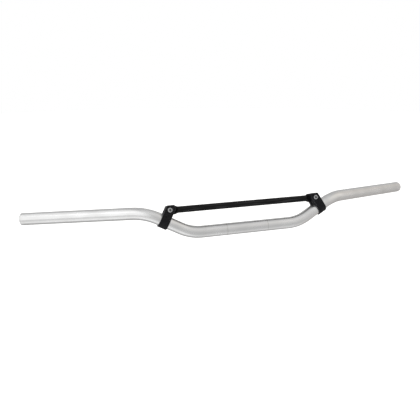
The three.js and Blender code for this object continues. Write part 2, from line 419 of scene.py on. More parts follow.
@dataclass(frozen=True)
class SatinAluminium:
    """Drawn 6061 aluminium tube, polished lengthways and clear anodised.

    It gives the eye a soft silver band with faint lines along the tube, a slightly uneven depth of
    polish and a few cloudier patches where it has been handled.
    """

    name: str = "satin_anodised_aluminium_drawn"
    silver: str = "#E2E2E2"
    cloudy: str = "#D3D3D2"
    # The rings' colour: dirt, plus painted shade standing in for the shade of the shallow groove.
    mark: str = "#CACAC8"
    roughness: float = 0.28
    line_spacing: float = 0.55
    line_length: float = 60.0
    line_depth: float = 0.006
    clouds_per_metre: float = 28.0
    mark_half_width: float = 1.3

    def build(self, marks: float) -> bpy.types.Material:
        """Make the material.

        Args:
            marks: The distance of the two ring marks from the middle of the tube, in millimetres.

        Returns:
            The material.
        """
        material, tree, shader = new_material(self.name)
        straight = add_node(tree, "Attribute", {"attribute_name": STRAIGHT}).outputs["Vector"]
        across = 1 / (self.line_spacing * MM)
        stretch = (1 / (self.line_length * MM), across, across)
        along = add_node(tree, "Mapping", inputs={"Vector": straight, "Scale": stretch}).outputs["Vector"]
        lines = add_node(tree, "TexNoise", inputs={"Vector": along, "Scale": 1.0, "Detail": 3.0})
        clouds = add_node(tree, "TexNoise", inputs={"Vector": straight, "Scale": self.clouds_per_metre,
                                                    "Detail": 4.0})
        rings = self.ring_marks(tree, straight, marks)
        polish = blended(tree, clouds.outputs["Fac"], (0.35, self.silver), (0.75, self.cloudy))
        # Darken the rings with dirt and with painted shade for the groove.
        marked = add_node(tree, "Mix", {"data_type": "RGBA"},
                          {"Factor": rings, 6: polish, 7: linear(self.mark)})
        shader.inputs["Metallic"].default_value = 1.0
        tree.links.new(marked.outputs[2], shader.inputs["Base Color"])
        streaks = add_node(tree, "MapRange", inputs={"Value": lines.outputs["Fac"], "From Min": 0.3,
                                                     "From Max": 0.7, "To Min": self.roughness - 0.03,
                                                     "To Max": self.roughness + 0.03})
        haze = add_node(tree, "MapRange", inputs={"Value": clouds.outputs["Fac"], "From Min": 0.45,
                                                  "From Max": 0.8, "To Min": 0.0, "To Max": 0.05})
        rough = add_node(tree, "Math", {"operation": "ADD"}, {0: streaks.outputs[0], 1: haze.outputs[0]})
        tree.links.new(rough.outputs[0], shader.inputs["Roughness"])
        bump = add_node(tree, "Bump", inputs={"Height": lines.outputs["Fac"], "Strength": 0.35,
                                              "Distance": self.line_depth * MM})
        tree.links.new(bump.outputs["Normal"], shader.inputs["Normal"])
        return material

    def ring_marks(self, tree: bpy.types.NodeTree, straight: bpy.types.NodeSocket,
                   marks: float) -> bpy.types.NodeSocket:
        """A mask of the two scribed rings, darkened with dirt and with painted shade for the groove.

        Args:
            tree: The node tree.
            straight: The unbent tube's coordinates.
            marks: The rings' distance from the middle, in millimetres.

        Returns:
            A factor that is 1 in the rings.
        """
        station = add_node(tree, "SeparateXYZ", inputs={0: straight}).outputs["X"]
        distance = add_node(tree, "Math", {"operation": "ABSOLUTE"}, {0: station}).outputs[0]
        offset = add_node(tree, "Math", {"operation": "SUBTRACT"}, {0: distance, 1: marks * MM}).outputs[0]
        near = add_node(tree, "Math", {"operation": "ABSOLUTE"}, {0: offset}).outputs[0]
        width = self.mark_half_width * MM
        mask = add_node(tree, "MapRange", inputs={"Value": near, "From Min": 0.2 * width, "From Max": width,
                                                  "To Min": 1.0, "To Max": 0.0})
        return mask.outputs[0]


@dataclass(frozen=True)
class SatinBlackPaint:
    """Steel bar, brushed lengthways and given a thin baked satin black coat.

    It gives the eye a near-black with a low sheen, fine orange peel and lighter streaks along the bar
    where the brushing shows through. The streaks are about twice as coarse as real ones, so that they
    still show when the whole bar is in view.
    """

    name: str = "satin_black_baked_enamel"
    black: str = "#0A0A0B"
    streak: str = "#2B2B2D"
    roughness: float = 0.36
    sheen: float = 0.13
    peel_size: float = 0.9
    peel_depth: float = 0.02
    streak_length: float = 34.0
    streak_width: float = 1.9

    def build(self) -> bpy.types.Material:
        """Make the material.

        Returns:
            The material.
        """
        material, tree, shader = new_material(self.name)
        place = add_node(tree, "TexCoord").outputs["Object"]
        across = 1 / (self.streak_width * MM)
        stretch = (1 / (self.streak_length * MM), across, across)
        along = add_node(tree, "Mapping", inputs={"Vector": place, "Scale": stretch}).outputs["Vector"]
        streaks = add_node(tree, "TexNoise", inputs={"Vector": along, "Scale": 1.0, "Detail": 4.0})
        peel = add_node(tree, "TexNoise", inputs={"Vector": place, "Scale": 1 / (self.peel_size * MM),
                                                  "Detail": 2.0})
        shader.inputs["Specular IOR Level"].default_value = self.sheen
        colour = blended(tree, streaks.outputs["Fac"], (0.47, self.black), (0.7, self.streak))
        tree.links.new(colour, shader.inputs["Base Color"])
        rough = add_node(tree, "MapRange", inputs={"Value": streaks.outputs["Fac"], "From Min": 0.3,
                                                   "From Max": 0.7, "To Min": self.roughness - 0.08,
                                                   "To Max": self.roughness + 0.12})
        tree.links.new(rough.outputs[0], shader.inputs["Roughness"])
        height = add_node(tree, "Math", {"operation": "ADD"},
                          {0: peel.outputs["Fac"], 1: streaks.outputs["Fac"]})
        bump = add_node(tree, "Bump", inputs={"Height": height.outputs[0], "Strength": 0.5,
                                              "Distance": self.peel_depth * MM})
        tree.links.new(bump.outputs["Normal"], shader.inputs["Normal"])
        return material


@dataclass(frozen=True)
class BlackCasting:
    """Die-cast aluminium with a thin black powder coat.

    It gives the eye a deep black with a pebbled skin and a mottled sheen. The mottle is painted into the
    colour as lighter specks of sheen on the pebbles with an uneven tone. Its edges are rubbed unevenly to a
    lighter grey that also serves as a painted highlight along them. The pebbles are about twice their real
    size, so that they still show from a few steps away.
    """

    name: str = "black_powder_coated_casting"
    black: str = "#050506"
    # Painted sheen: lighter specks that stand in for the glints on the pebbles, mixed with an uneven tone.
    pebble_sheen: str = "#202023"
    # Edge colour: rubbed wear that also serves as a painted highlight along the rounded edges.
    rubbed_and_highlit: str = "#717176"
    roughness: float = 0.44
    sheen: float = 0.09
    pebble_size: float = 0.9
    pebble_depth: float = 0.07
    patch_size: float = 3.4

    def build(self) -> bpy.types.Material:
        """Make the material.

        Returns:
            The material.
        """
        material, tree, shader = new_material(self.name)
        place = add_node(tree, "TexCoord").outputs["Object"]
        pebbles = add_node(tree, "TexNoise", inputs={"Vector": place, "Scale": 1 / (self.pebble_size * MM),
                                                     "Detail": 2.0})
        patches = add_node(tree, "TexNoise", inputs={"Vector": place, "Scale": 1 / (self.patch_size * MM),
                                                     "Detail": 5.0})
        edge = add_node(tree, "Attribute", {"attribute_name": EDGE}).outputs["Fac"]
        uneven = add_node(tree, "MapRange", inputs={"Value": patches.outputs["Fac"], "From Min": 0.42,
                                                    "From Max": 0.62, "To Min": 0.1})
        # Edge wear, which also paints the highlights along the rounded edges.
        edge_wear_and_highlight = add_node(tree, "Math", {"operation": "MULTIPLY"}, {0: edge, 1: uneven.outputs[0]})
        mottle = add_node(tree, "Mix", inputs={"Factor": 0.4, "A": pebbles.outputs["Fac"],
                                               "B": patches.outputs["Fac"]})
        # The mottle paints the pebbles' sheen into the colour, with uneven tone from the larger patches.
        painted_sheen_mottle = blended(tree, mottle.outputs[0], (0.34, self.black), (0.7, self.pebble_sheen))
        colour = add_node(tree, "Mix", {"data_type": "RGBA"},
                          {"Factor": edge_wear_and_highlight.outputs[0], 6: painted_sheen_mottle, 7: linear(self.rubbed_and_highlit)})
        tree.links.new(colour.outputs[2], shader.inputs["Base Color"])
        shader.inputs["Specular IOR Level"].default_value = self.sheen
        rough = add_node(tree, "MapRange", inputs={"Value": patches.outputs["Fac"], "From Min": 0.3,
                                                   "From Max": 0.7, "To Min": self.roughness - 0.1,
                                                   "To Max": self.roughness + 0.1})
        tree.links.new(rough.outputs[0], shader.inputs["Roughness"])
        bump = add_node(tree, "Bump", inputs={"Height": pebbles.outputs["Fac"], "Strength": 0.6,
                                              "Distance": self.pebble_depth * MM})
        tree.links.new(bump.outputs["Normal"], shader.inputs["Normal"])
        return material


@dataclass(frozen=True)
class ZincPlate:
    """Cold-headed steel with bright zinc plate.

    It gives the eye a slightly bluish grey metal with a fine grain and duller patches, and a socket
    darkened with painted shade.
    """

    name: str = "bright_zinc_plated_steel"
    bright: str = "#C9CACB"
    dull: str = "#8F9091"
    # Painted shade for the inside of the socket.
    socket_shade: str = "#5E5E5F"
    roughness: float = 0.3
    grain_size: float = 0.3
    grain_depth: float = 0.02
    patch_size: float = 2.4

    def build(self) -> bpy.types.Material:
        """Make the material.

        Returns:
            The material.
        """
        material, tree, shader = new_material(self.name)
        place = add_node(tree, "TexCoord").outputs["Object"]
        grain = add_node(tree, "TexNoise", inputs={"Vector": place, "Scale": 1 / (self.grain_size * MM),
                                                   "Detail": 3.0})
        patches = add_node(tree, "TexNoise", inputs={"Vector": place, "Scale": 1 / (self.patch_size * MM),
                                                     "Detail": 3.0})
        plate = blended(tree, patches.outputs["Fac"], (0.35, self.bright), (0.75, self.dull))
        recess = add_node(tree, "Attribute", {"attribute_name": RECESS}).outputs["Fac"]
        # The socket's rings take the painted shade colour.
        colour = add_node(tree, "Mix", {"data_type": "RGBA"},
                          {"Factor": recess, 6: plate, 7: linear(self.socket_shade)})
        shader.inputs["Metallic"].default_value = 1.0
        tree.links.new(colour.outputs[2], shader.inputs["Base Color"])
        rough = add_node(tree, "MapRange", inputs={"Value": patches.outputs["Fac"], "From Min": 0.3,
                                                   "From Max": 0.7, "To Min": self.roughness - 0.07,
                                                   "To Max": self.roughness + 0.1})
        tree.links.new(rough.outputs[0], shader.inputs["Roughness"])
        bump = add_node(tree, "Bump", inputs={"Height": grain.outputs["Fac"], "Strength": 0.2,
                                              "Distance": self.grain_depth * MM})
        tree.links.new(bump.outputs["Normal"], shader.inputs["Normal"])
        return material


# ---------------------------------------------------------------------------------------------
# The bar's own shape
# ---------------------------------------------------------------------------------------------


def turned_about(vectors: np.ndarray, axis: np.ndarray, angle: np.ndarray) -> np.ndarray:
    """Vectors turned about an axis by Rodrigues' formula.

    Each becomes v cos a + (k x v) sin a + k (k . v)(1 - cos a).

    Args:
        vectors: One vector of shape (3,), or one for each angle, (n, 3).
        axis: The unit axis k.
        angle: An (n,) array of angles a in radians.

    Returns:
        An (n, 3) array.
    """
    cosine, sine = np.cos(angle)[:, None], np.sin(angle)[:, None]
    along = np.multiply.outer(vectors @ axis, axis)
    return vectors * cosine + np.cross(axis, vectors) * sine + along * (1 - cosine)


@dataclass(frozen=True)
class BarLine:
    """The bar's centreline in the rise plane, in millimetres: straights joined by arcs."""

    centre_half_length: float = 86.0
    inner_bend_radius: float = 80.0
    rise_angle: float = math.radians(28.4)
    rise_length: float = 45.0
    outer_bend_radius: float = 85.0
    grip_length: float = 203.0
    grip_sweep: float = math.radians(20.1)
    grip_upsweep: float = math.radians(2.8)
    rise_lean: float = math.radians(20.0)

    @property
    def rise(self) -> np.ndarray:
        """The direction of the straight rise on the clutch side."""
        return np.array([math.cos(self.rise_angle), 0.0, math.sin(self.rise_angle)])

    @property
    def grip(self) -> np.ndarray:
        """The direction of the clutch-side grip.

        Returns:
            A unit vector.
        """
        level = math.cos(self.grip_upsweep)
        return np.array([level * math.cos(self.grip_sweep), level * math.sin(self.grip_sweep),
                         math.sin(self.grip_upsweep)])

    @property
    def lengths(self) -> np.ndarray:
        """Arc length from the middle to the end of each stretch.

        Returns:
            Five lengths: the straight centre, inner bend, rise, outer bend and grip, each with all before.
        """
        outer_angle = math.acos(float(self.rise @ self.grip))
        stretches = [self.centre_half_length, self.inner_bend_radius * self.rise_angle, self.rise_length,
                     self.outer_bend_radius * outer_angle, self.grip_length]
        return np.cumsum(stretches)

    def frames(self, station: np.ndarray) -> tuple[np.ndarray, np.ndarray, np.ndarray]:
        """The centreline and its frame at signed arc lengths from the middle.

        On a straight the point moves along the tangent. On an arc the frame turns about the bend's
        axis by arc length over radius, and the point turns about the bend's centre with it. The
        throttle side is the mirror image of the clutch side.

        Args:
            station: An (n,) array of signed arc lengths in millimetres.

        Returns:
            Points, upward normals and rearward normals, each (n, 3).
        """
        reach = np.abs(station)
        edge, bend, top, sweep, _ = self.lengths
        in_plane = np.array([0.0, -1.0, 0.0])
        inner = np.clip((reach - edge) / self.inner_bend_radius, 0, self.rise_angle)
        spoke = np.array([0.0, 0.0, -self.inner_bend_radius])
        hub = np.array([edge, 0.0, self.inner_bend_radius])
        points = turned_about(spoke, in_plane, inner) + hub
        points[:, 0] += np.minimum(reach - edge, 0)
        points += np.clip(reach - bend, 0, self.rise_length)[:, None] * self.rise
        axis = np.cross(self.rise, self.grip)
        axis /= np.linalg.norm(axis)
        outer = np.clip((reach - top) / self.outer_bend_radius, 0, (sweep - top) / self.outer_bend_radius)
        out_spoke = np.cross(self.rise, axis) * self.outer_bend_radius
        points += turned_about(out_spoke, axis, outer) - out_spoke
        points += np.maximum(reach - sweep, 0)[:, None] * self.grip
        up, back = (turned_about(turned_about(vector, in_plane, inner), axis, outer)
                    for vector in (np.array([0.0, 0.0, 1.0]), np.array([0.0, 1.0, 0.0])))
        mirror = np.ones((len(station), 3))
        mirror[station < 0, 0] = -1.0
        return points * mirror, up * mirror, back * mirror

    def leaned(self, points: np.ndarray) -> np.ndarray:
        """Points of the rise plane, leaned back into the frame about the x axis.

        With lean t, (x, y, z) becomes (x, y cos t + z sin t, z cos t - y sin t).

        Args:
            points: An array whose last axis is x, y and z.

        Returns:
            An array of the same shape.
        """
        x, y, z = np.moveaxis(points, -1, 0)
        cosine, sine = math.cos(self.rise_lean), math.sin(self.rise_lean)
        return np.stack((x, y * cosine + z * sine, z * cosine - y * sine), axis=-1)

    def lean_mesh(self, mesh: bpy.types.Mesh) -> None:
        """Lean a finished mesh from the rise plane into the frame."""
        mesh.transform(Matrix.Rotation(-self.rise_lean, 4, "X"))
        mesh.update()


@dataclass
class BarTube:
    """The bent, open-ended tube, with its rounded lips and two scribed rings."""

    line: BarLine
    finish: SatinAluminium = field(default_factory=SatinAluminium)
    radius: float = 11.1
    wall: float = 3.8
    lip: float = 0.9
    bore_lip: float = 0.5
    ring_place: float = 40.0
    ring_depth: float = 0.03
    ring_half_width: float = 1.3
    spacing: float = 2.2
    ring_steps: int = 7
    ring_clearance: float = 0.5
    lip_steps: int = 7
    bore_start: float = 4.0
    bore_rings: int = 90
    around: int = 96

    def profile(self) -> tuple[np.ndarray, np.ndarray]:
        """Stations and radii once round the tube's wall: outside, lip, bore and lip again.

        The outside dips by depth (1 - (d / w)^2) within w of a ring, the outer lip is a quarter
        circle and the bore's edge is a small chamfer.

        Returns:
            Signed stations and radii in millimetres, each (rows,).
        """
        end = self.line.lengths[-1]
        bore = self.radius - self.wall
        offsets = np.linspace(-self.ring_half_width, self.ring_half_width, self.ring_steps)
        plain = np.arange(-end + self.lip, end - self.lip, self.spacing)
        rings = np.concatenate([place + offsets for place in (-self.ring_place, self.ring_place)])
        clear = np.min(np.abs(plain[:, None] - rings[None, :]), axis=1) > self.ring_clearance
        outside = np.sort(np.concatenate((plain[clear], rings, [end - self.lip])))
        depth = 1 - ((np.abs(outside) - self.ring_place) / self.ring_half_width) ** 2
        outer = self.radius - self.ring_depth * np.clip(depth, 0, 1)
        turn = np.linspace(0, math.pi / 2, self.lip_steps)[1:]
        lip_station = end - self.lip + self.lip * np.sin(turn)
        lip_radius = self.radius - self.lip + self.lip * np.cos(turn)
        edge_station = np.array([end, end - self.bore_lip])
        edge_radius = np.array([bore + self.bore_lip, bore])
        half_bore = np.linspace(end - self.bore_start, 0, self.bore_rings)[:-1]
        right = outside >= 0
        stations = np.concatenate((outside[right], lip_station, edge_station, half_bore))
        radii = np.concatenate((outer[right], lip_radius, edge_radius, np.full(len(half_bore), bore)))
        return np.concatenate((stations, -stations[::-1])), np.concatenate((radii, radii[::-1]))

    def build(self) -> bpy.types.Object:
        """Make and dress the tube.

        A point at station s and angle a is the centreline at s plus r(s) times (up cos a + back sin a).
        The angle runs backwards, so that the outside faces outward.

        Returns:
            The piece.
        """
        station, radius = self.profile()
        points, up, back = self.line.frames(station)
        angle = -np.arange(self.around) * TURN / self.around
        lift, shift = radius[:, None] * np.cos(angle), radius[:, None] * np.sin(angle)
        grid = points[:, None, :] + lift[..., None] * up[:, None, :] + shift[..., None] * back[:, None, :]
        mesh = skin("bar_tube_skin", self.line.leaned(grid), closed=True)
        straight = np.stack(np.broadcast_arrays(station[:, None], lift, shift), axis=-1)
        layer = mesh.attributes.new(STRAIGHT, "FLOAT_VECTOR", "POINT")
        layer.data.foreach_set("vector", (straight * MM).astype(np.float32).ravel())
        shade(mesh, Shading.ROUND)
        piece = make_object("bar_tube_skin", mesh)
        mesh.materials.append(self.finish.build(self.ring_place))
        return dressed(piece, "handlebar", "bar_tube")


@dataclass
class Crossbar:
    """The round crossbar, its ends pressed flat round the bolt holes."""

    line: BarLine
    bolt: np.ndarray
    finish: SatinBlackPaint = field(default_factory=SatinBlackPaint)
    radius: float = 5.95
    pressed_half: float = 2.2
    flat_length: float = 9.5
    blend_length: float = 7.0
    hole_radius: float = 2.85
    tip_angle: float = 0.04
    tip_rings: int = 26
    press_start: float = 0.5
    press_rings: int = 44
    body_start: float = 2.0
    body_rings: int = 60
    drill_reach: float = 20.0
    around: int = 64

    @property
    def reach(self) -> float:
        """Half the pressed end's height, which is also how far it reaches past the bolt's axis."""
        return self.pressed_half + math.pi * (self.radius - self.pressed_half) / 2

    def section(self, inboard: np.ndarray) -> tuple[np.ndarray, np.ndarray]:
        """Half-thickness and half-height at distances inboard of a bolt axis.

        Pressing keeps the girth: with half-thickness w, the half-height is w + pi (r - w) / 2. Past
        the bolt axis the end is a half disc with a rounded rim.

        Args:
            inboard: Distances in millimetres, negative outboard of the bolt.

        Returns:
            Half-thicknesses and half-heights.
        """
        share = np.clip((inboard - self.flat_length) / self.blend_length, 0, 1)
        share = share * share * (3 - 2 * share)
        thick = self.pressed_half + (self.radius - self.pressed_half) * share
        high = thick + math.pi * (self.radius - thick) / 2
        reach = self.reach
        past = np.clip(-inboard, 0, reach)
        rim = np.clip(past - (reach - self.pressed_half), 0, self.pressed_half)
        high = np.where(inboard < 0, np.sqrt(np.maximum(reach**2 - past**2, 0)), high)
        thick = np.where(inboard < 0, np.sqrt(np.maximum(self.pressed_half**2 - rim**2, 0)), thick)
        return np.minimum(thick, high), high

    def build(self) -> bpy.types.Object:
        """Make and dress the crossbar.

        Each section is two half circles of radius w set h - w above and below the axis.

        Returns:
            The piece.
        """
        end = -self.reach * np.cos(np.linspace(self.tip_angle, math.pi / 2, self.tip_rings))
        pressed = self.flat_length + self.blend_length
        press = np.linspace(self.press_start, pressed, self.press_rings)
        length = self.bolt[0]
        body = np.linspace(pressed + self.body_start, length, self.body_rings)
        inboard = np.concatenate((end, press, body))
        thick, high = self.section(inboard)
        x = np.concatenate((inboard - length, (length - inboard)[-2::-1]))
        thick, high = (np.concatenate((size, size[-2::-1])) for size in (thick, high))
        angle = (np.arange(self.around) + 0.5) * TURN / self.around
        lift = np.where(np.sin(angle) > 0, 1.0, -1.0)[None, :] * (high - thick)[:, None]
        grid = np.stack((np.repeat(x[:, None], self.around, axis=1), thick[:, None] * np.cos(angle),
                         thick[:, None] * np.sin(angle) + lift), axis=-1)
        piece = make_object("crossbar_skin", skin("crossbar_skin", grid))
        for side in Side:
            hole = cylinder("hole", self.hole_radius, -self.drill_reach, self.drill_reach, HOLE_SIDES)
            hole.transform(Matrix.Translation((side.value * length * MM, 0, 0)))
            cut(piece, hole)
        mesh = piece.data
        mesh.transform(Matrix.Translation((0, 0, self.bolt[2] * MM)))
        self.line.lean_mesh(mesh)
        shade(mesh, Shading.MACHINED)
        mesh.materials.clear()
        mesh.materials.append(self.finish.build())
        return dressed(piece, "handlebar", "crossbar")


@dataclass
class ClampStack:
    """One side's split clamp and its fasteners.

    The stack is drawn with x along the tube and outboard, y along the bolt towards the rear, and z
    square to the tube, from the tube's axis.
    """

    line: BarLine
    side: Side
    casting: bpy.types.Material
    zinc: bpy.types.Material
    along_rise: float = 32.7
    bolt_offset: float = 21.2
    half_width: float = 8.3
    band_radius: float = 13.5
    bore_radius: float = 11.35
    rear_ear: float = 9.1
    slot_half: float = 2.6
    above_bolt: float = 8.7
    inboard_corner: float = 5.0
    outboard_corner: float = 2.5
    hole_radius: float = 2.85
    counterbore_radius: float = 5.3
    counterbore_floor: float = -6.4
    pocket_floor: float = 4.8
    pocket_flats: float = 8.5
    edge: float = 0.7
    overlap: float = 5.0
    foot_turn: float = math.radians(14)
    foot_curve: float = 3.5
    band_steps: int = 120
    foot_steps: int = 12
    corner_steps: int = 14
    bore_sides: int = 120
    counterbore_sides: int = 72

    @property
    def centre(self) -> np.ndarray:
        """The point on the tube's axis under the clamp, on the clutch side."""
        return self.line.frames(np.array([self.line.lengths[1] + self.along_rise]))[0][0]

    @property
    def bolt_axis(self) -> np.ndarray:
        """The bolt's place in the rise plane, on the clutch side."""
        angle = self.line.rise_angle
        return self.centre + self.bolt_offset * np.array([-math.sin(angle), 0.0, math.cos(angle)])

    def place(self, piece: bpy.types.Object) -> None:
        """Move a stack mesh to its clamp's place in the frame.

        Args:
            piece: A piece drawn in the stack's own axes.
        """
        x, _, z = self.centre * MM
        sign = self.side.value
        turn = Matrix.Rotation(-sign * self.line.rise_angle, 4, "Y")
        piece.data.transform(Matrix.Translation((sign * x, 0, z)) @ turn)
        self.line.lean_mesh(piece.data)

    def side_profile(self) -> np.ndarray:
        """The clamp seen along the tube, as (y, z): a round band that runs straight up at the front.

        The band is an arc of radius r from the front, under the tube and up to the rear ear's foot,
        where a short curve (1 - t)^2 a + 2 t (1 - t) b + t^2 c turns it upwards.

        Returns:
            An (n, 2) array, anticlockwise.
        """
        top = self.bolt_offset + self.band_radius + self.overlap
        meet = math.acos(self.rear_ear / self.band_radius)
        arc = np.linspace(math.pi, TURN + meet - self.foot_turn, self.band_steps)
        band = self.band_radius * np.column_stack((np.cos(arc), np.sin(arc)))
        foot = self.band_radius * math.sin(meet)
        start, knee = band[-1], np.array([self.rear_ear, foot])
        finish = knee + [0.0, self.foot_curve]
        t = np.linspace(0, 1, self.foot_steps)[1:, None]
        curve = (1 - t) ** 2 * start + 2 * t * (1 - t) * knee + t**2 * finish
        return np.vstack((band, curve, [[self.rear_ear, top], [-self.band_radius, top]]))

    def front_outline(self) -> np.ndarray:
        """The clamp seen along the bolt, as (x, z): straight sides and a top level with the crossbar.

        Each top corner is an arc tangent to its two sides.

        Returns:
            An (n, 2) array, anticlockwise.
        """
        slope = math.tan(self.line.rise_angle)
        middle = self.bolt_offset + self.above_bolt / math.cos(self.line.rise_angle)
        low = -self.band_radius - self.overlap
        outboard = np.array([self.half_width, middle - slope * self.half_width])
        inboard = np.array([-self.half_width, middle + slope * self.half_width])
        level = np.array([-math.cos(self.line.rise_angle), math.sin(self.line.rise_angle)])
        up = np.array([0.0, 1.0])
        first = self.corner_arc(outboard, -up, level, self.outboard_corner)
        second = self.corner_arc(inboard, -level, -up, self.inboard_corner)
        outline = np.vstack(([[self.half_width, low]], first, second, [[-self.half_width, low]]))
        return outline if self.side is Side.CLUTCH else (outline * [-1, 1])[::-1]

    def corner_arc(self, corner: np.ndarray, back: np.ndarray, ahead: np.ndarray,
                   radius: float) -> np.ndarray:
        """An arc that rounds a corner.

        Args:
            corner: The corner, (2,).
            back: The unit direction back along the side that comes in.
            ahead: The unit direction along the side that goes out.
            radius: The arc's radius in millimetres.

        Returns:
            An (n, 2) array from one side to the other.
        """
        half = math.acos(float(back @ ahead)) / 2
        bisector = (back + ahead) / np.linalg.norm(back + ahead)
        centre = corner + bisector * radius / math.sin(half)
        start = corner + back * radius / math.tan(half) - centre
        finish = corner + ahead * radius / math.tan(half) - centre
        first = math.atan2(start[1], start[0])
        sweep = (math.atan2(finish[1], finish[0]) - first) % TURN
        angle = first + np.linspace(0, sweep, self.corner_steps)
        return centre + radius * np.column_stack((np.cos(angle), np.sin(angle)))

    def build_clamp(self) -> bpy.types.Object:
        """Make and dress the split clamp.

        The side profile carried across the clamp's width is trimmed to the front outline, then bored
        for the tube, slotted, drilled, counterbored for the bolt's head and pocketed for the nut.

        Returns:
            The piece.
        """
        name = f"{self.side.label}_clamp_casting"
        body = prism(name, self.side_profile(), -self.half_width, self.half_width)
        body.transform(Matrix(((0, 0, 1, 0), (1, 0, 0, 0), (0, 1, 0, 0), (0, 0, 0, 1))))
        piece = make_object(name, body)
        front = prism("front", self.front_outline(), -PAST, PAST)
        front.transform(Matrix.Rotation(math.pi / 2, 4, "X"))
        cut(piece, front, "INTERSECT")
        bore = cylinder("bore", self.bore_radius, -PAST, PAST, self.bore_sides)
        bore.transform(Matrix.Rotation(math.pi / 2, 4, "Z"))
        cut(piece, bore)
        top = 2 * self.bolt_offset
        corners = np.array([[-1, -1], [1, -1], [1, 1], [-1, 1]])
        cut(piece, prism("slot", corners * [PAST, self.slot_half], 0.0, top))
        shift = Matrix.Translation((0, 0, self.bolt_offset * MM))
        flats = self.pocket_flats / math.sqrt(3)
        tools = [
            cylinder("hole", self.hole_radius, -PAST, PAST, HOLE_SIDES),
            cylinder("counterbore", self.counterbore_radius, -PAST, self.counterbore_floor,
                     self.counterbore_sides),
            cylinder("pocket", flats, self.pocket_floor, PAST, 6),
        ]
        tools[2].transform(Matrix.Rotation(math.pi / 2, 4, "Y"))
        for tool in tools:
            tool.transform(shift)
            cut(piece, tool)
        ease_edges(piece, self.edge)
        self.place(piece)
        shade(piece.data, Shading.MACHINED)
        piece.data.materials.append(self.casting)
        return dressed(piece, "handlebar", f"{self.side.label}_clamp")


